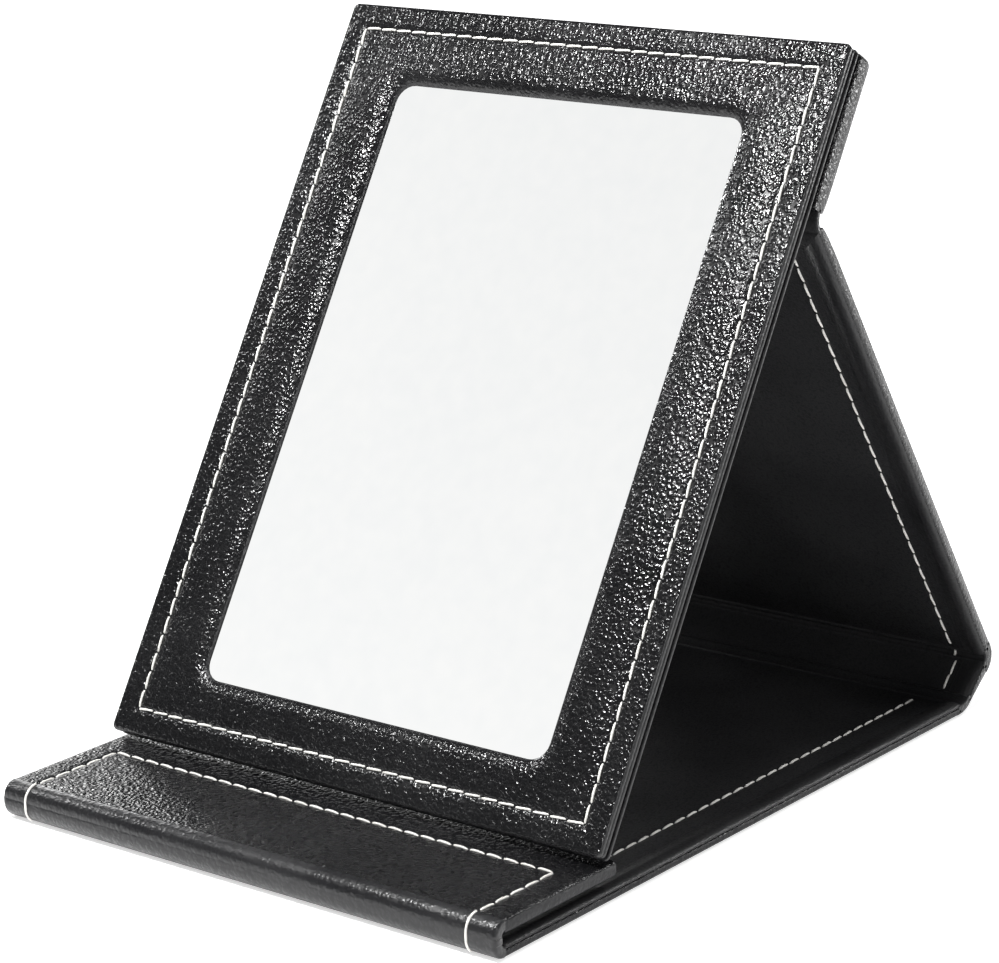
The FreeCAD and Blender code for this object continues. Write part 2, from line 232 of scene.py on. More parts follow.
# Leather grain: noise that warps the pebbles, how far it does, fine grain and broad unevenness
WARP_SCALE = 0.9
WARP_REACH = 0.9
FINE_SCALE = 4.0
BROAD_SCALE = 0.045
# Distances from a pebble's centre over which its dome falls and its valley starts
DOME_SPAN = (0.1, 0.85)
VALLEY_SPAN = (0.5, 0.8)
# Share of the tone taken off in the valleys between pebbles, as painted shade
VALLEY_PAINTED_SHADE = 0.4
VALLEY_ROUGHNESS = 0.12
# Spans of the noise values that are carried over to colour and roughness
TONE_SPAN = (0.1, 0.7)
ROUGHNESS_SPAN = (0.3, 0.7)
FLECK_SPAN = (0.5, 1.1)
DRIFT_SHARE = 0.6
ZERO_TO_ONE = (0.0, 1.0)

FLOOR_SIZE = 9.0
FLOOR_MIDDLE = (0, 1.5, -0.0002)
FLOOR_DRIFT = 0.004
FLOOR_TONES = ((0.86, 0.86, 0.86), (0.9, 0.9, 0.9))
FLOOR_ROUGHNESS = 0.7
# The floor glows more away from the mirror, by distance in millimetres
FLOOR_GLOW_SPAN = (500, 1600)
FLOOR_GLOW = (0.6, 0.9)
# Light from the studio by the rise of its direction, and a paler painted reflection that only the glass
# shows
STUDIO_SPAN = (0.02, 0.2)
STUDIO_LIGHT = (0.85, 0.09)
GLASS_REFLECTION_SPAN = (0.0, 1.0)
GLASS_REFLECTION_LIGHT = (0.9, 0.55)
# Light that was mirrored once has a depth below this
MIRRORED_ONCE = 2.5
# Softboxes as (place, width, height, power, turn in degrees)
SOFTBOXES = {
    "glass_softbox": ((-0.916, -0.858, 0.915), 0.25, 0.47, 0.105, 22.8),
    "upper_right_key": ((-0.13, -0.345, 0.655), 0.106, 0.106, 6.8, 0.0),
    "left_key": ((-1.3, -0.15, 0.85), 0.2, 0.2, 5, 0.0),
    "top_light": ((0.05, 0.05, 1.9), 0.5, 0.5, 12, 0.0),
    "left_light": ((-1.22, 0.7, 0.51), 0.4, 0.3, 4, 0.0),
    "right_light": ((1.05, 1.2, 0.22), 0.5, 0.35, 9, 0.0),
    "front_edge_light": ((1.17, -0.65, 0.75), 0.3, 0.3, 5, 0.0),
    "rear_edge_light": ((0.4, 1.13, 0.97), 0.3, 0.3, 5, 0.0),
}
LIGHTS_AIM = (0, 0, 0.07)

# Camera: turn round the mirror, rise and roll in degrees
CAMERA_TURN = (38.76, 15.54, -1.45)
CAMERA_TARGET = (-0.00223, 0, 0.06126)
CAMERA_DISTANCE = 0.71065
CAMERA_LENS = 121.49
CAMERA_SENSOR = 36
CAMERA_NEAR = 0.05


def along(angle):
    """Unit step along a panel that rises at this angle from +Y."""
    return Vector((0, math.cos(angle), math.sin(angle)))


# Fold line and angle of each body's panel
PANELS = {
    "base": (FOLDS["front_spine_fold"], 0.0),
    "rear_spine": (FOLDS["rear_spine_fold"], SPINE_ANGLE),
    "leg": (FOLDS["leg_fold"], LEG_ANGLE),
    "mirror": (FOLDS["mirror_fold"] - along(MIRROR_ANGLE) * TOP_FOLD_HEIGHT * MM, MIRROR_ANGLE),
    "flap": (FOLDS["flap_fold"] + Vector((0, FLAP_LENGTH * MM, 0)), math.pi),
    "front_spine": (FOLDS["flap_fold"], 1.5 * math.pi),
}


def clamp(share):
    """A share held between 0 and 1."""
    return min(1, max(0, share))


def deselect():
    bpy.ops.object.select_all(action="DESELECT")


def activate(piece):
    deselect()
    piece.select_set(True)
    bpy.context.view_layer.objects.active = piece


def edit(piece):
    activate(piece)
    bpy.ops.object.mode_set(mode="EDIT")


def leave_edit():
    bpy.ops.object.mode_set(mode="OBJECT")


def apply_transforms():
    bpy.ops.object.transform_apply(location=True, rotation=True, scale=True)


def pick_all():
    bpy.ops.mesh.select_all(action="SELECT")


def pick(piece, keep, kind="VERT"):
    """Selects the vertices or faces of the edited piece that pass a test."""
    bpy.ops.mesh.select_mode(type=kind)
    bpy.ops.mesh.select_all(action="DESELECT")
    mesh = bmesh.from_edit_mesh(piece.data)
    for part in {"VERT": mesh.verts, "FACE": mesh.faces}[kind]:
        if keep(part):
            part.select_set(True)
    mesh.select_flush(True)
    bmesh.update_edit_mesh(piece.data)


def new_piece(name):
    """Empty mesh object, ready to be edited."""
    piece = bpy.data.objects.new(name, bpy.data.meshes.new(name))
    bpy.context.scene.collection.objects.link(piece)
    return piece


def ring_layer(piece):
    """Layer that holds the number of each vertex's ring."""
    layers = bmesh.from_edit_mesh(piece.data).verts.layers.int
    return layers.get("ring") or layers.new("ring")


def add_ring(piece, number, half_width, start, end, start_radius, end_radius, height):
    """One rounded rectangle of edges, marked with its number."""
    middle = (0, (start + end) / 2, height)
    bpy.ops.mesh.primitive_plane_add(size=2, location=middle)
    bpy.ops.transform.resize(value=(half_width, (end - start) / 2, 1), center_override=middle)
    for y, radius in ((start, start_radius), (end, end_radius)):
        layer = ring_layer(piece)
        pick(piece, lambda v: v[layer] == 0 and abs(v.co.y - y) < RING_CLOSE)
        bpy.ops.mesh.bevel(offset=radius, segments=CORNER_STEPS, affect="VERTICES")
    layer = ring_layer(piece)
    mesh = bmesh.from_edit_mesh(piece.data)
    for vertex in mesh.verts:
        if vertex[layer] == 0:
            vertex[layer] = number
    bmesh.update_edit_mesh(piece.data)
    pick_all()
    bpy.ops.mesh.delete(type="ONLY_FACE")


def ring_order(mesh, layer, number, ring):
    """A ring's vertices in order round it, starting at the same corner on every ring."""
    half_width, start, end = ring[:3]
    middle = (start + end) / 2

    def bearing(vertex):
        return math.atan2((vertex.co.y - middle) / (end - middle), vertex.co.x / half_width)

    return sorted((v for v in mesh.verts if v[layer] == number), key=bearing)


def loft(name, rings, closed=False):
    """Skin over rounded rectangles, capped at both ends or closed on itself."""
    piece = new_piece(name)
    edit(piece)
    for number, ring in enumerate(rings, 1):
        add_ring(piece, number, *ring)
    mesh = bmesh.from_edit_mesh(piece.data)
    layer = ring_layer(piece)
    loops = [ring_order(mesh, layer, number, ring) for number, ring in enumerate(rings, 1)]
    pairs = list(zip(loops, loops[1:]))
    if closed:
        pairs.append((loops[-1], loops[0]))
    else:
        mesh.faces.new(loops[0])
        mesh.faces.new(loops[-1])
    for first, second in pairs:
        for number in range(len(first)):
            mesh.faces.new((first[number - 1], first[number], second[number], second[number - 1]))
    bmesh.update_edit_mesh(piece.data)
    outward()
    leave_edit()
    piece.data.attributes.remove(piece.data.attributes["ring"])
    return piece


def outward():
    """Turns all faces of the edited piece outward."""
    pick_all()
    bpy.ops.mesh.normals_make_consistent(inside=False)


def end_share(share, height):
    """A shoulder wider than the sides' roundness only goes on the outer face."""
    return share if height < SHOULDER_HEIGHT else min(share, 1.0)


def rings_of(section, half_width, ends, shares, radii):
    """Rings that follow an edge section round a panel.

    A share scales the section at each end: 0 leaves that end cut square."""
    made = []
    for inset, height in section:
        start = ends[0] + inset * end_share(shares[0], height)
        end = ends[1] - inset * end_share(shares[1], height)
        corners = [max(radius - inset, PLAIN_CORNER) for radius in radii]
        made.append((half_width - inset, start, end, *corners, height))
    return made


def window_rings(section):
    """Rings of an edge section that grows outward from the mirror's window."""
    made = []
    for growth, height in section:
        start, end = WINDOW_ENDS[0] - growth, WINDOW_ENDS[1] + growth
        radius = WINDOW_RADIUS + growth * WINDOW_RADIUS_GROWTH
        made.append((WINDOW_SIDE + growth, start, end, radius, radius, height))
    return made


def cut(axis, place):
    """Cuts the selected faces square to an axis."""
    point, normal = [0, 0, 0], [0, 0, 0]
    point[axis] = place
    normal[axis] = 1
    bpy.ops.mesh.bisect(plane_co=point, plane_no=normal)


def cut_through(axis, places):
    """Cuts the whole edited piece square to an axis at each place."""
    for place in places:
        pick_all()
        cut(axis, place)


def score(piece, height, axis, places):
    """Cuts straight lines across the flat face at this height."""
    for place in places:
        pick(piece, lambda f: all(abs(v.co.z - height) < CLOSE for v in f.verts), "FACE")
        cut(axis, place)


def steps_from_ends(ends, rises, steps):
    """Places at steps of the rise from each of the two ends."""
    places = []
    for step in steps:
        places += [ends[0] + rises[0] * step, ends[1] - rises[1] * step]
    return places


def path_distance(spot, path):
    """Distance in plan from a spot to the nearest leg of a path."""
    nearest = math.inf
    for start, end in zip(path, path[1:]):
        leg = Vector(end) - Vector(start)
        share = (spot - Vector(start)).dot(leg) / leg.length_squared
        foot = Vector(start) + leg * clamp(share)
        nearest = min(nearest, (spot - foot).length)
    return nearest


def press_seam(piece, height, path, inward):
    """Draws the leather in along a stitch path on the face at this height."""
    edit(piece)
    legs = list(zip(path, path[1:]))
    for axis in (0, 1):
        lines = {round(a[axis], 3) for a, b in legs if abs(a[axis] - b[axis]) < IN_LINE}
        for line in sorted(lines):
            score(piece, height, axis, [line + beside for beside in SEAM_CUTS])
    for y in sorted({round(y, 3) for y in (path[0][1], path[-1][1])}):
        score(piece, height, 1, [y])
    for near, far, depth in SEAM_PRESS:
        pick(piece, lambda v: (
            abs(v.co.z - height) < CLOSE and near <= path_distance(v.co.xy, path) < far
        ))
        bpy.ops.transform.translate(value=(0, 0, depth * inward))
    leave_edit()


def raise_by(piece, way, height_at):
    """Moves every vertex up or down by the height found for its place."""
    raised = piece.vertex_groups.new(name="raised")
    for vertex in piece.data.vertices:
        raised.add([vertex.index], height_at(vertex.co), "REPLACE")
    lift = piece.modifiers.new("raise", "DISPLACE")
    lift.vertex_group = "raised"
    lift.direction = "Z"
    lift.mid_level = 0
    lift.strength = way
    activate(piece)
    bpy.ops.object.modifier_apply(modifier="raise")
    piece.vertex_groups.clear()


def swell_at(name, y, ends):
    """How far a panel's cover stands out at this distance along it."""
    first, last, *rises = SWELLS.get(name, NO_SWELL)
    height = first + (last - first) * clamp((y - ends[0]) / (ends[1] - ends[0]))
    for distance, rise in zip((y - ends[0], ends[1] - y), rises):
        if rise > 0:
            short = 1 - clamp(distance / rise)
            height *= math.sqrt(1 - short ** 2)
    return height


def swell_cover(cover, name, ends):
    """Swells the outer face of a padded cover softly between its ends."""
    edit(cover)
    cut_through(1, steps_from_ends(ends, SWELLS[name][2:], SWELL_STEPS))
    leave_edit()

    def height_at(spot):
        fade = clamp((SWELL_OVER - spot.z) / (SWELL_OVER - SWELL_FULL))
        return fade * swell_at(name, spot.y, ends)

    raise_by(cover, -1, height_at)


def crown_at(spot):
    """How far the padded side bars of the frame stand out at this spot."""
    inset = HALF_WIDTH - abs(spot.x)
    share = clamp(min(spot.y - CROWN_ENDS[0], CROWN_ENDS[1] - spot.y) / CROWN_RISE)
    for (near, low), (far, high) in zip(CROWN, CROWN[1:]):
        if near <= inset < far:
            height = low + (high - low) * (inset - near) / (far - near)
            return height * share ** 2 * (3 - 2 * share)
    return 0.0


def crown_bars(facing):
    """Pads the side bars of the mirror's frame, fading out towards its corners."""
    edit(facing)
    cut_through(1, steps_from_ends(CROWN_ENDS, (CROWN_RISE, CROWN_RISE), CROWN_STEPS))
    leave_edit()
    raise_by(facing, 1, crown_at)


def smooth(piece):
    activate(piece)
    bpy.ops.object.shade_smooth_by_angle(angle=SMOOTH_ANGLE)


def stand_up(piece, place, angle, depth=PANEL / 2):
    """Brings a piece modelled flat in millimetres to its fold line."""
    normal = Vector((0, -math.sin(angle), math.cos(angle)))
    piece.scale = (MM, MM, MM)
    piece.rotation_euler = (angle, 0, 0)
    piece.location = place - normal * depth * MM
    activate(piece)
    apply_transforms()


def finish_piece(piece, panel, material, slot, *nodes):
    """Stands a panel's piece up, dresses it and ties it to its body."""
    stand_up(piece, *PANELS[panel])
    smooth(piece)
    piece.data.materials.append(material)
    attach(piece, panel)
    if nodes:
        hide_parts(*nodes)


def cover_of(name, ends, shares, radii):
    """Tray of grained leather, turned up round the edges of its board."""
    edge, pocket = THICK_EDGES.get(name, (COVER_EDGE, COVER_POCKET))
    rings = rings_of(edge, HALF_WIDTH, ends, shares, radii)
    rings += rings_of(pocket, HALF_WIDTH, ends, ROUND_ENDS, SQUARE_CORNERS)
    return loft(name + "_cover_leather", rings)


def lining_of(name, ends, shares, radii):
    """Sheet of smooth leather with a thin glued edge and a soft roll along it."""
    wall = THICK_EDGE_WALL if name in THICK_EDGES else 0.0
    inner = [end + wall * way * (share > 0) for end, way, share in zip(ends, (1, -1), shares)]
    soft = [max(share, LINING_LEAST_SHARE) for share in shares]
    return loft(name + "_lining_leather", rings_of(LINING_EDGE, HALF_WIDTH - wall, inner, soft, radii))


def mark_rim(piece):
    """Second finish for the sides, where the leather is stretched round an edge."""
    for face in piece.data.polygons:
        face.material_index = 1 if abs(face.normal.z) < RIM_RISE else 0


def mark_turn_in(piece):
    """Second finish for the strips beside the long edges, where the cover is turned in."""
    for face in piece.data.polygons:
        face.material_index = 1 if abs(face.center.x) > HALF_WIDTH - TURN_IN_WIDTH else 0


def side_paths(inset, ends, start_gap, end_gap):
    """Stitch paths beside both long edges of a panel, kept off its ends."""
    x = HALF_WIDTH - inset
    start, end = ends[0] + start_gap, ends[1] - end_gap
    return [[(side * x, start), (side * x, end)] for side in (-1, 1)]


def three_sided(inset, open_end, closed_end):
    """Stitch path up one side, across and back down the other."""
    x = HALF_WIDTH - inset
    return [(-x, open_end), (-x, closed_end), (x, closed_end), (x, open_end)]


def stitch_model():
    """One arched stitch of thread, its ends sunk into the leather."""
    deselect()
    bpy.ops.mesh.primitive_cylinder_add(
        vertices=THREAD_SIDES, radius=THREAD_RADIUS, depth=STITCH_LENGTH, rotation=(0, math.pi / 2, 0)
    )
    stitch = bpy.context.object
    apply_transforms()
    edit(stitch)
    half = STITCH_LENGTH / 2
    outer, inner = (half * share for share, _, _ in STITCH_SHAPE[1:])
    cut_through(0, (-outer, -inner, 0, inner, outer))
    for share, sink, size in STITCH_SHAPE:
        for place in (-half * share, half * share):
            pick(stitch, lambda v: abs(v.co.x - place) < CLOSE)
            bpy.ops.transform.resize(value=(1, size, size), center_override=(place, 0, 0))
            bpy.ops.transform.translate(value=(0, 0, -sink))
    leave_edit()
    return stitch


def stitches_along(paths, height, up):
    """Places and turns of evenly spaced stitches along paths on a face."""
    spots = []
    for path in paths:
        for start, end in zip(path, path[1:]):
            leg = Vector(end) - Vector(start)
            count = max(1, round(leg.length / STITCH_PITCH))
            turn = math.atan2(leg.y, leg.x) + STITCH_SLANT
            for number in range(count):
                spot = Vector(start) + leg * (number + 0.5) / count
                spots.append(Matrix.Translation((*spot, height)) @ Matrix.Rotation(turn, 4, "Z"))
    if up < 0:
        spots = [spot @ Matrix.Rotation(math.pi, 4, "X") for spot in spots]
    return spots


def join_pieces(name, pieces):
    """Joins pieces into the first of them."""
    activate(pieces[0])
    for piece in pieces:
        piece.select_set(True)
    bpy.ops.object.join()
    pieces[0].name = name
    return pieces[0]


def thread_piece(name, model, spots):
    """All stitches of one panel as a single piece."""
    copies = []
    for spot in spots:
        copy = model.copy()
        copy.data = model.data.copy()
        copy.matrix_world = spot
        bpy.context.scene.collection.objects.link(copy)
        copies.append(copy)
    thread = join_pieces(name, copies)
    apply_transforms()
    return thread


def fold_centre(bend):
    """Centre of a fold's curve, in the frame of the panel before it."""
    radius = FOLD_REACH / math.tan(abs(bend) / 2)
    return Vector((0, -FOLD_REACH, math.copysign(radius, bend)))


def sweep(bend, tail, share=1.0):
    """Carries the selected section round a share of a fold, with a short tail at each end."""
    turned = along(bend * share)
    bpy.ops.mesh.extrude_region_move(TRANSFORM_OT_translate={"value": (0, tail, 0)})
    steps = max(FOLD_LEAST_STEPS, round(abs(bend) / FOLD_STEP))
    bpy.ops.mesh.spin(steps=steps, angle=-bend * share, center=fold_centre(bend), axis=(1, 0, 0))
    bpy.ops.mesh.extrude_region_move(TRANSFORM_OT_translate={"value": turned * tail})
    pick_all()
    bpy.ops.mesh.remove_doubles(threshold=MERGE)
    outward()


def fold_band(name, fold):
    """Band of leather bent round a fold, with softened ends and a second finish inside."""
    bend = FOLD_BENDS[fold]
    low, high, tail = FOLD_SECTIONS[fold]
    deselect()
    middle = (0, -FOLD_REACH - tail, (low + high) / 2)
    bpy.ops.mesh.primitive_plane_add(size=2, location=middle, rotation=(math.pi / 2, 0, 0))
    band = bpy.context.object
    band.name = name
    apply_transforms()
    edit(band)
    pick_all()
    bpy.ops.transform.resize(value=(HALF_WIDTH, 1, (high - low) / 2), center_override=middle)
    for height, corner in ((low, BAND_OUTER_CORNER), (high, BAND_INNER_CORNER)):
        pick(band, lambda v: abs(v.co.z - height) < CLOSE)
        bpy.ops.mesh.bevel(offset=corner, segments=BAND_CORNER_STEPS, affect="VERTICES")
    pick_all()
    sweep(bend, tail)
    leave_edit()
    centre = fold_centre(bend)
    for face in band.data.polygons:
        inward = (face.center - centre).yz.dot(face.normal.yz) * bend
        face.material_index = 1 if inward < -IN_LINE else 0
    return band


def strand_end(x, y, z):
    """Round end of a thread, selected in edit mode and ready to be drawn out along +Y."""
    deselect()
    bpy.ops.mesh.primitive_circle_add(
        vertices=THREAD_SIDES, radius=THREAD_RADIUS, fill_type="NGON",
        location=(x, y, z), rotation=(math.pi / 2, 0, 0),
    )
    strand = bpy.context.object
    apply_transforms()
    edit(strand)
    pick_all()
    return strand


def fold_thread(name, fold, inset, level, share):
    """Two threads that run round a fold, one near each end of it."""
    strands = []
    for side in (-1, 1):
        strand = strand_end(side * (HALF_WIDTH - inset), -FOLD_REACH, level)
        sweep(FOLD_BENDS[fold], 0.0, share)
        leave_edit()
        strands.append(strand)
    return join_pieces(name, strands)


def spine_thread(name):
    """Two short strands that carry the roll's thread across the front spine."""
    start, end = FRONT_SPINE_ENDS
    middle = end - start + 2 * (SPINE_THREAD_OVERLAP - SPINE_THREAD_TAPER)
    steps = (
        (SPINE_THREAD_TAPER, SPINE_THREAD_GROWTH),
        (middle, 1.0),
        (SPINE_THREAD_TAPER, 1 / SPINE_THREAD_GROWTH),
    )
    strands = []
    for side in (-1, 1):
        x = side * (HALF_WIDTH - FLAP_SEAM)
        strand = strand_end(x, start - SPINE_THREAD_OVERLAP, SPINE_THREAD_LEVEL)
        for step, width in steps:
            bpy.ops.mesh.extrude_region_move(TRANSFORM_OT_translate={"value": (0, step, 0)})
            core = (x, 0, SPINE_THREAD_LEVEL)
            bpy.ops.transform.resize(value=(width, 1, width), center_override=core)
        outward()
        leave_edit()
        strands.append(strand)
    return join_pieces(name, strands)


def hang_fold(piece, fold, material, slot, *nodes):
    """Sets a fold's piece in place at its fold line, dresses it and hides the parts it stands for."""
    before, after = FOLD_BODIES[fold]
    angle = PANELS[before][1]
    place = FOLDS[fold]
    stand_up(piece, place, angle, 0)
    smooth(piece)
    piece.data.materials.append(material)
    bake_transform(piece)
    if nodes:
        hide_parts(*nodes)


def link_nodes(tree, *links):
    for source, target in links:
        tree.links.new(source, target)


def add_node(tree, kind, **settings):
    made = tree.nodes.new(kind)
    for name, value in settings.items():
        setattr(made, name, value)
    return made


def math_node(tree, operation, first, second):
    """Arithmetic on two values, each a socket or a number."""
    made = add_node(tree, "ShaderNodeMath", operation=operation)
    for socket, value in zip(made.inputs, (first, second)):
        if isinstance(value, bpy.types.NodeSocket):
            tree.links.new(value, socket)
        else:
            socket.default_value = value
    return made.outputs[0]


def ranged(tree, value, span, results, smoothstep=False):
    """Value carried from one span to another, held at its ends."""
    made = add_node(tree, "ShaderNodeMapRange")
    if smoothstep:
        made.interpolation_type = "SMOOTHSTEP"
    tree.links.new(value, made.inputs["Value"])
    for name, number in zip(("From Min", "From Max", "To Min", "To Max"), (*span, *results)):
        made.inputs[name].default_value = number
    return made.outputs["Result"]


def new_group(name, inputs, outputs):
    """Shader group with value inputs and value outputs."""
    group = bpy.data.node_groups.new(name, "ShaderNodeTree")
    for socket, value in inputs:
        made = group.interface.new_socket(socket, in_out="INPUT", socket_type="NodeSocketFloat")
        made.default_value = value
    for socket in outputs:
        group.interface.new_socket(socket, in_out="OUTPUT", socket_type="NodeSocketFloat")
    return group, add_node(group, "NodeGroupInput"), add_node(group, "NodeGroupOutput")


def millimetres(tree):
    """Object coordinates counted in millimetres."""
    where = add_node(tree, "ShaderNodeTexCoord")
    scaled = add_node(tree, "ShaderNodeVectorMath", operation="SCALE")
    scaled.inputs["Scale"].default_value = 1 / MM
    tree.links.new(where.outputs["Object"], scaled.inputs[0])
    return scaled.outputs[0]


def noise(tree, vector, scale, detail=2.0):
    made = add_node(tree, "ShaderNodeTexNoise")
    made.inputs["Scale"].default_value = scale
    made.inputs["Detail"].default_value = detail
    tree.links.new(vector, made.inputs["Vector"])
    return made


def grain_group():
    """Pebbles of embossed leather with valleys between them, and broad unevenness."""
    group, inlet, outlet = new_group(
        "leather_grain", (("Pebble Size", 0.8), ("Fine Grain", 0.12)), ("Height", "Valley", "Unevenness")
    )
    place = millimetres(group)
    drift = noise(group, place, WARP_SCALE, 0.0)
    centred = add_node(group, "ShaderNodeVectorMath", operation="SUBTRACT")
    centred.inputs[1].default_value = (0.5, 0.5, 0.5)
    warped = add_node(group, "ShaderNodeVectorMath", operation="MULTIPLY_ADD")
    warped.inputs[1].default_value = (WARP_REACH, WARP_REACH, WARP_REACH)
    sized = add_node(group, "ShaderNodeVectorMath", operation="DIVIDE")
    link_nodes(
        group, (drift.outputs["Color"], centred.inputs[0]), (centred.outputs[0], warped.inputs[0]),
        (place, warped.inputs[2]), (warped.outputs[0], sized.inputs[0]),
        (inlet.outputs["Pebble Size"], sized.inputs[1]),
    )
    domes = add_node(group, "ShaderNodeTexVoronoi", feature="F1")
    domes.inputs["Scale"].default_value = 1
    group.links.new(sized.outputs[0], domes.inputs["Vector"])
    dome = ranged(group, domes.outputs["Distance"], DOME_SPAN, (1.0, 0.0), smoothstep=True)
    fine = noise(group, place, FINE_SCALE, 0.0).outputs["Fac"]
    fine = math_node(group, "MULTIPLY", fine, inlet.outputs["Fine Grain"])
    height = math_node(group, "ADD", dome, fine)
    valley = ranged(group, domes.outputs["Distance"], VALLEY_SPAN, ZERO_TO_ONE)
    broad = noise(group, place, BROAD_SCALE, 1.0).outputs["Fac"]
    link_nodes(
        group, (height, outlet.inputs["Height"]), (valley, outlet.inputs["Valley"]),
        (broad, outlet.inputs["Unevenness"]),
    )
    return group


def fleck_group():
    """Fine flecks and a slow drift, for thread, board, glass, foam, tape and metal."""
    sizes = (("Fleck Size", 0.3), ("Drift Size", 12.0))
    group, inlet, outlet = new_group("flecks", sizes, ("Fleck", "Drift"))
    place = millimetres(group)
    results = []
    for size, _ in sizes:
        sized = add_node(group, "ShaderNodeVectorMath", operation="DIVIDE")
        link_nodes(group, (place, sized.inputs[0]), (inlet.outputs[size], sized.inputs[1]))
        results.append(noise(group, sized.outputs[0], 1.0, 1.0).outputs["Fac"])
    link_nodes(group, (results[0], outlet.inputs["Fleck"]), (results[1], outlet.inputs["Drift"]))
    return group


def blend_colour(tree, factor, first, second):
    """Colour between two others."""
    made = add_node(tree, "ShaderNodeMix", data_type="RGBA")
    ends = [socket for socket in made.inputs if socket.type == "RGBA"]
    for socket, colour in zip(ends, (first, second)):
        socket.default_value = (*colour, 1)
    tree.links.new(factor, made.inputs["Factor"])
    return next(socket for socket in made.outputs if socket.type == "RGBA")


def new_material(name):
    """Material with its shader, ready for its nodes."""
    material = bpy.data.materials.new(name)
    material.use_nodes = True
    tree = material.node_tree
    shader = next(n for n in tree.nodes if n.type == "BSDF_PRINCIPLED")
    return material, tree, shader


def bumped(tree, shader, height, depth):
    """Raises the surface by a height, its full depth given in millimetres."""
    bump = add_node(tree, "ShaderNodeBump")
    bump.inputs["Strength"].default_value = 1.0
    bump.inputs["Distance"].default_value = depth * MM
    link_nodes(tree, (height, bump.inputs["Height"]), (bump.outputs[0], shader.inputs["Normal"]))


def leather(name, pebble, fine, depth, tones, roughness, shine=0.4):
    """Black coated leather: grain, painted shade in the valleys between pebbles and uneven gloss."""
    material, tree, shader = new_material(name)
    shader.inputs["Specular IOR Level"].default_value = shine
    grain = add_node(tree, "ShaderNodeGroup", node_tree=GRAIN)
    grain.inputs["Pebble Size"].default_value = pebble
    grain.inputs["Fine Grain"].default_value = fine
    # Painted shade: the colour darkens in the valleys between the pebbles
    painted_valley_shade = math_node(tree, "MULTIPLY", grain.outputs["Valley"], VALLEY_PAINTED_SHADE)
    tone = math_node(tree, "SUBTRACT", grain.outputs["Unevenness"], painted_valley_shade)
    colour = blend_colour(tree, ranged(tree, tone, TONE_SPAN, ZERO_TO_ONE), *tones)
    rough = ranged(tree, grain.outputs["Unevenness"], ROUGHNESS_SPAN, roughness)
    dull = math_node(tree, "MULTIPLY", grain.outputs["Valley"], VALLEY_ROUGHNESS)
    rough = math_node(tree, "ADD", rough, dull)
    link_nodes(tree, (colour, shader.inputs["Base Color"]), (rough, shader.inputs["Roughness"]))
    bumped(tree, shader, grain.outputs["Height"], depth)
    return material


def flecked(name, fleck, drift, depth, tones, roughness, metallic=0.0):
    """Plain stock with flecks and a slow drift of tone, left flat where its roughness is even."""
    material, tree, shader = new_material(name)
    flecks = add_node(tree, "ShaderNodeGroup", node_tree=FLECKS)
    flecks.inputs["Fleck Size"].default_value = fleck
    flecks.inputs["Drift Size"].default_value = drift
    slow = math_node(tree, "MULTIPLY", flecks.outputs["Drift"], DRIFT_SHARE)
    mixed = math_node(tree, "ADD", flecks.outputs["Fleck"], slow)
    colour = blend_colour(tree, ranged(tree, mixed, FLECK_SPAN, ZERO_TO_ONE), *tones)
    tree.links.new(colour, shader.inputs["Base Color"])
    shader.inputs["Metallic"].default_value = metallic
    shader.inputs["Roughness"].default_value = roughness[0]
    if roughness[0] < roughness[1]:
        rough = ranged(tree, flecks.outputs["Drift"], ROUGHNESS_SPAN, roughness)
        tree.links.new(rough, shader.inputs["Roughness"])
        bumped(tree, shader, flecks.outputs["Fleck"], depth)
    return material


GRAIN = grain_group()
FLECKS = fleck_group()
COVER = leather(
    "cover_leather", pebble=0.85, fine=0.12, depth=0.1,
    tones=((0.003, 0.003, 0.0035), (0.007, 0.007, 0.0077)), roughness=(0.15, 0.22),
)
STRETCHED = leather(
    "stretched_leather", pebble=0.95, fine=0.1, depth=0.05,
    tones=((0.005, 0.005, 0.006), (0.012, 0.012, 0.013)), roughness=(0.26, 0.36),
)
LINING = leather(
    "lining_leather", pebble=0.5, fine=0.15, depth=0.03,
    tones=((0.012, 0.012, 0.013), (0.021, 0.021, 0.022)), roughness=(0.46, 0.56), shine=0.15,
)
RIM = leather(
    "rim_leather", pebble=0.8, fine=0.1, depth=0.05,
    tones=((0.006, 0.006, 0.007), (0.013, 0.013, 0.014)), roughness=(0.34, 0.44), shine=0.16,
)
TURN_IN = leather(
    "turned_in_leather", pebble=0.7, fine=0.12, depth=0.03,
    tones=((0.01, 0.01, 0.011), (0.018, 0.018, 0.019)), roughness=(0.3, 0.4),
)
THREAD = flecked(
    "thread", fleck=0.12, drift=6.0, depth=0.05,
    tones=((0.62, 0.6, 0.56), (0.86, 0.85, 0.82)), roughness=(0.6, 0.75),
)
GREYBOARD = flecked(
    "greyboard", fleck=0.5, drift=15.0, depth=0.05,
    tones=((0.2, 0.19, 0.17), (0.38, 0.36, 0.33)), roughness=(0.85, 0.95),
)
SILVER = flecked(
    "mirror_glass", fleck=4.0, drift=60.0, depth=0.0,
    tones=((0.9, 0.91, 0.91), (0.93, 0.935, 0.93)), roughness=(0.0, 0.0), metallic=1.0,
)
TAPE = flecked(
    "tape", fleck=0.6, drift=9.0, depth=0.02,
    tones=((0.72, 0.71, 0.66), (0.86, 0.85, 0.81)), roughness=(0.5, 0.6),
)
FOAM = flecked(
    "foam_pad", fleck=0.35, drift=8.0, depth=0.12,
    tones=((0.012, 0.012, 0.012), (0.04, 0.04, 0.04)), roughness=(0.8, 0.95),
)
NICKEL = flecked(
    "magnet", fleck=0.2, drift=5.0, depth=0.005,
    tones=((0.6, 0.6, 0.62), (0.74, 0.74, 0.76)), roughness=(0.18, 0.3), metallic=1.0,
)
STEEL = flecked(
    "keeper_steel", fleck=0.25, drift=10.0, depth=0.01,
    tones=((0.42, 0.42, 0.43), (0.56, 0.56, 0.57)), roughness=(0.3, 0.45), metallic=1.0,
)

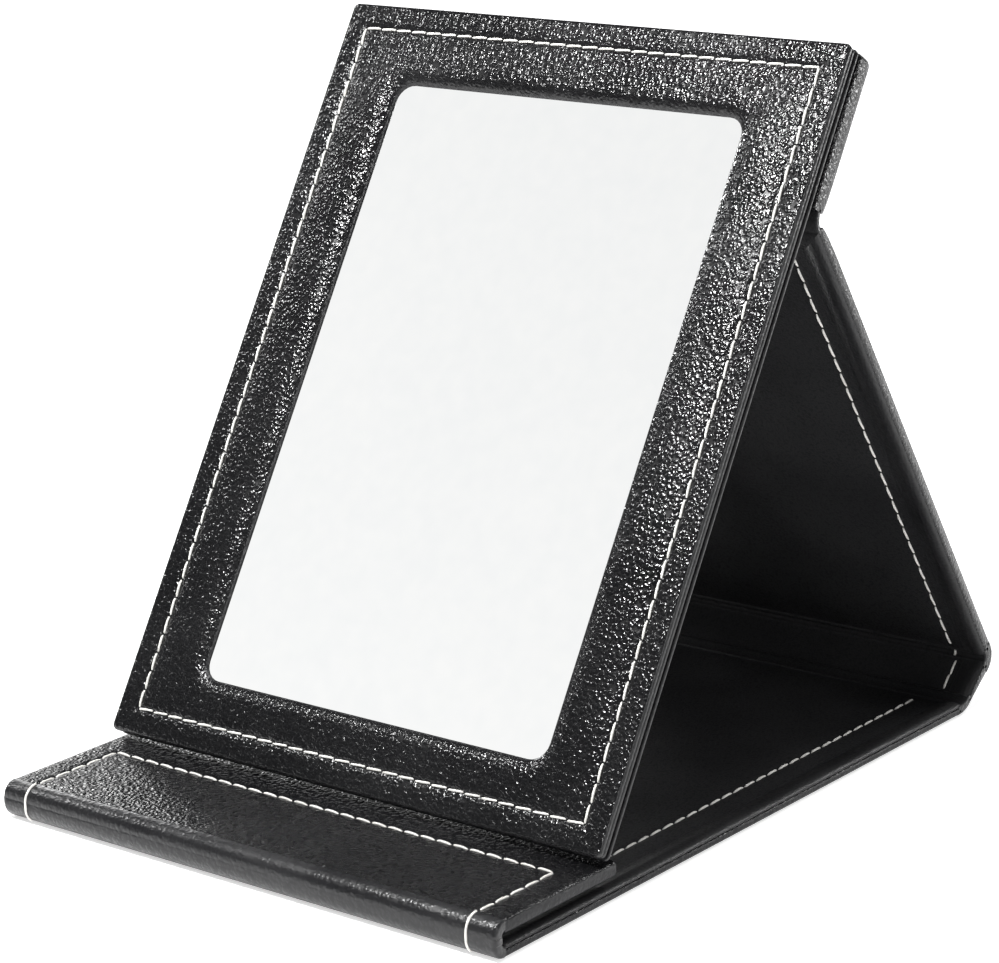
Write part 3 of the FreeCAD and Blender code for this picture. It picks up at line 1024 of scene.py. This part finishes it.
# Folded panels as (body, ends, share of the edge section at each end, corners at each end)
PANEL_PLANS = {
    "base": ("base", BASE_ENDS, SQUARE_ENDS, SQUARE_CORNERS),
    "rear_spine": ("rear_spine", REAR_SPINE_ENDS, SQUARE_ENDS, SQUARE_CORNERS),
    "leg": ("leg", LEG_ENDS, (0, 1.6), SQUARE_CORNERS),
    "upper_back": ("mirror", UPPER_BACK_ENDS, (1.2, 1), (PLAIN_CORNER, ROUND_CORNER)),
    "flap": ("flap", FLAP_ENDS, (1, 0), (ROUND_CORNER, PLAIN_CORNER)),
}
INNER_SEAMS = {
    "base": side_paths(BASE_SEAM, BASE_ENDS, start_gap=2, end_gap=2),
    "rear_spine": side_paths(REAR_SPINE_SEAM, REAR_SPINE_ENDS, start_gap=1, end_gap=1),
    "leg": side_paths(LEG_SEAM, LEG_ENDS, start_gap=1, end_gap=2),
}
OUTER_SEAMS = {
    "rear_spine": side_paths(REAR_SPINE_SEAM, REAR_SPINE_ENDS, start_gap=1, end_gap=1),
    "leg": side_paths(LEG_SEAM, LEG_ENDS, start_gap=1, end_gap=5),
    "upper_back": [three_sided(LEG_SEAM, *UPPER_BACK_SEAM_ENDS)],
    "flap": [three_sided(FLAP_SEAM, *FLAP_SEAM_ENDS)],
}


def build_panels():
    """Covers and linings of the folded panels."""
    for name, (body, ends, shares, radii) in PANEL_PLANS.items():
        cover = cover_of(name, ends, shares, radii)
        for path in OUTER_SEAMS.get(name, []):
            press_seam(cover, 0.0, path, 1)
        if name in SWELLS:
            swell_cover(cover, name, ends)
        if name in ("base", "flap"):
            mark_rim(cover)
        finish_piece(cover, body, COVER, "cover_leather", name + "_cover")
        cover.data.materials.append(RIM)
        lining = lining_of(name, ends, shares, radii)
        for path in INNER_SEAMS.get(name, []):
            press_seam(lining, PANEL, path, -1)
        mark_turn_in(lining)
        finish_piece(lining, body, LINING, "lining_leather", name + "_lining")
        lining.data.materials.append(TURN_IN)


def build_threads():
    """Stitching of every panel, outside and inside."""
    model = stitch_model()
    for name, (body, ends, _, _) in PANEL_PLANS.items():
        spots = stitches_along(INNER_SEAMS.get(name, []), PANEL - STITCH_SINK, 1)
        for spot in stitches_along(OUTER_SEAMS.get(name, []), STITCH_SINK, -1):
            swell = swell_at(name, spot.translation.y, ends)
            spots.append(Matrix.Translation((0, 0, -swell)) @ spot)
        thread = thread_piece(name + "_thread", model, spots)
        finish_piece(thread, body, THREAD, "thread", name + "_stitching")
    x = HALF_WIDTH - MIRROR_SEAM
    low, high = MIRROR_SEAM, MIRROR_HEIGHT - MIRROR_SEAM
    border = [(-x, low), (x, low), (x, high), (-x, high), (-x, low)]
    spots = stitches_along([border], MIRROR_FRONT - MIRROR_STITCH_SINK, 1)
    thread = thread_piece("mirror_thread", model, spots)
    finish_piece(thread, "mirror", THREAD, "thread", "mirror_stitching")
    bpy.data.objects.remove(model)


def build_mirror():
    """Front frame, spacer, back cover and glue pad of the mirror panel."""
    ends = (0.0, MIRROR_HEIGHT)
    rings = rings_of(FACING_EDGE, HALF_WIDTH, ends, ROUND_ENDS, ROUND_CORNERS)
    rings += window_rings(WINDOW_EDGE)
    facing = loft("mirror_facing_leather", rings, closed=True)
    crown_bars(facing)
    mark_rim(facing)
    finish_piece(facing, "mirror", COVER, "cover_leather", "mirror_facing")
    facing.data.materials.append(STRETCHED)
    rings = rings_of(BACK_EDGE, HALF_WIDTH, ends, ROUND_ENDS, ROUND_CORNERS)
    back = loft("mirror_back_leather", rings)
    mark_rim(back)
    finish_piece(back, "mirror", RIM, "cover_leather", "mirror_back_cover")
    back.data.materials.append(STRETCHED)
    rings = rings_of(SPACER_EDGE, HALF_WIDTH, ends, ROUND_ENDS, ROUND_CORNERS)
    rings += window_rings(SPACER_WINDOW)
    spacer = loft("glass_spacer_edge", rings, closed=True)
    finish_piece(spacer, "mirror", STRETCHED, "cover_leather", "glass_spacer")
    rings = rings_of(PAD_EDGE, PAD_HALF_WIDTH, PAD_ENDS, ROUND_ENDS, PAD_CORNERS)
    pad = loft("mounting_pad_foam", rings)
    finish_piece(pad, "mirror", FOAM, "foam_pad", "mounting_pad")


def build_front_spine():
    """Short upright strip in the middle of the front roll."""
    rings = rings_of(FRONT_SPINE_EDGE, HALF_WIDTH, FRONT_SPINE_ENDS, SQUARE_ENDS, SQUARE_CORNERS)
    strip = loft("front_spine_leather", rings)
    finish_piece(strip, "front_spine", STRETCHED, "cover_leather", "front_spine_skin", "front_spine_lining")
    thread = spine_thread("front_spine_thread")
    finish_piece(thread, "front_spine", THREAD, "thread", "front_spine_stitching")


def build_folds():
    """Leather bent round the five folds, and the threads that cross them."""
    bands = (
        ("crease_flap", "flap_fold", STRETCHED),
        ("crease_base_front", "front_spine_fold", STRETCHED),
        ("crease_base_rear", "rear_spine_fold", COVER),
        ("crease_leg_foot", "leg_fold", COVER),
        ("crease_leg_top", "mirror_fold", COVER),
    )
    for node, fold, material in bands:
        band = fold_band(node + "_leather", fold)
        hang_fold(band, fold, material, "cover_leather", node)
        band.data.materials.append(LINING)
    for name, (fold, inset, level, share) in FOLD_THREADS.items():
        thread = fold_thread(name, fold, inset, level, share)
        hang_fold(thread, fold, THREAD, "thread")


def dress_nodes():
    """Finishes for the boards, glass and fittings that keep their own shape."""
    finishes = {
        GREYBOARD: (
            "base_board", "flap_board", "front_spine_strip", "rear_spine_board", "leg_board",
            "upper_back_board", "mirror_back_board", "mirror_frame_board",
        ),
        SILVER: ("mirror_glass",),
        TAPE: ("glass_tape",),
        NICKEL: ("flap_magnets",),
        STEEL: ("upper_back_keeper",),
    }
    for material, nodes in finishes.items():
        for node in nodes:
            data = frame["nodes"][node].data
            data.materials.clear()
            data.materials.append(material)


def build_floor():
    """Pale floor with a glow of its own, so that it stays light round the mirror."""
    deselect()
    bpy.ops.mesh.primitive_plane_add(size=FLOOR_SIZE, location=FLOOR_MIDDLE)
    floor = bpy.context.object
    floor.name = "floor"
    apply_transforms()
    material, tree, shader = new_material("pale_floor")
    drift = noise(tree, millimetres(tree), FLOOR_DRIFT)
    colour = blend_colour(tree, drift.outputs["Fac"], *FLOOR_TONES)
    tree.links.new(colour, shader.inputs["Base Color"])
    shader.inputs["Roughness"].default_value = FLOOR_ROUGHNESS
    shader.inputs["Emission Color"].default_value = (1, 1, 1, 1)
    away = add_node(tree, "ShaderNodeVectorMath", operation="LENGTH")
    tree.links.new(millimetres(tree), away.inputs[0])
    glow = ranged(tree, away.outputs["Value"], FLOOR_GLOW_SPAN, FLOOR_GLOW, smoothstep=True)
    tree.links.new(glow, shader.inputs["Emission Strength"])
    floor.data.materials.append(material)


def build_studio():
    """White backdrop for the camera, a painted reflection of pale light that only the glass shows, and dim
    light for the rest.
    """
    world = bpy.data.worlds.new("studio")
    bpy.context.scene.world = world
    world.use_nodes = True
    tree = world.node_tree
    sky = next(n for n in tree.nodes if n.type == "BACKGROUND")
    direction = add_node(tree, "ShaderNodeTexCoord")
    split = add_node(tree, "ShaderNodeSeparateXYZ")
    tree.links.new(direction.outputs["Generated"], split.inputs[0])
    path = add_node(tree, "ShaderNodeLightPath")
    studio = ranged(tree, split.outputs["Z"], STUDIO_SPAN, STUDIO_LIGHT, smoothstep=True)
    backdrop = math_node(tree, "MAXIMUM", studio, path.outputs["Is Camera Ray"])
    # Painted reflection: paler light seen only by rays that the glass mirrors once
    painted_glass_reflection = ranged(tree, split.outputs["Z"], GLASS_REFLECTION_SPAN, GLASS_REFLECTION_LIGHT)
    straight = math_node(tree, "LESS_THAN", path.outputs["Ray Depth"], MIRRORED_ONCE)
    seen = math_node(tree, "MULTIPLY", straight, path.outputs["Is Singular Ray"])
    mirrored = math_node(tree, "MULTIPLY", painted_glass_reflection, seen)
    tree.links.new(math_node(tree, "MAXIMUM", backdrop, mirrored), sky.inputs["Color"])


def build_softbox(name, place, width, height, power, turn):
    """Rectangular light aimed at the middle of the mirror and turned about its aim."""
    lamp = bpy.data.lights.new(name, "AREA")
    lamp.shape = "RECTANGLE"
    lamp.size = width
    lamp.size_y = height
    lamp.energy = power
    light = bpy.data.objects.new(name, lamp)
    bpy.context.scene.collection.objects.link(light)
    light.location = place
    aim = Vector(LIGHTS_AIM) - Vector(place)
    facing = aim.to_track_quat("-Z", "Y").to_matrix() @ Matrix.Rotation(math.radians(turn), 3, "Z")
    light.rotation_euler = facing.to_euler()


def build_camera():
    """Camera where the photograph was taken from."""
    azimuth, elevation, roll = (math.radians(angle) for angle in CAMERA_TURN)
    back = Vector((
        math.sin(azimuth) * math.cos(elevation),
        -math.cos(azimuth) * math.cos(elevation),
        math.sin(elevation),
    ))
    level = Vector((math.cos(azimuth), math.sin(azimuth), 0))
    upright = back.cross(level)
    right = level * math.cos(roll) + upright * math.sin(roll)
    up = upright * math.cos(roll) - level * math.sin(roll)
    lens = bpy.data.cameras.new("camera")
    lens.sensor_fit = "HORIZONTAL"
    lens.sensor_width = CAMERA_SENSOR
    lens.lens = CAMERA_LENS
    lens.clip_start = CAMERA_NEAR
    camera = bpy.data.objects.new("camera", lens)
    bpy.context.scene.collection.objects.link(camera)
    turn = Matrix((right, up, back)).transposed().to_4x4()
    place = Vector(CAMERA_TARGET) + back * CAMERA_DISTANCE
    camera.matrix_world = Matrix.Translation(place) @ turn
    bpy.context.scene.camera = camera


build_panels()
build_threads()
build_mirror()
build_front_spine()
build_folds()
dress_nodes()
build_floor()
build_studio()
for label, settings in SOFTBOXES.items():
    build_softbox(label, *settings)
build_camera()
bpy.context.scene.view_settings.view_transform = "Standard"
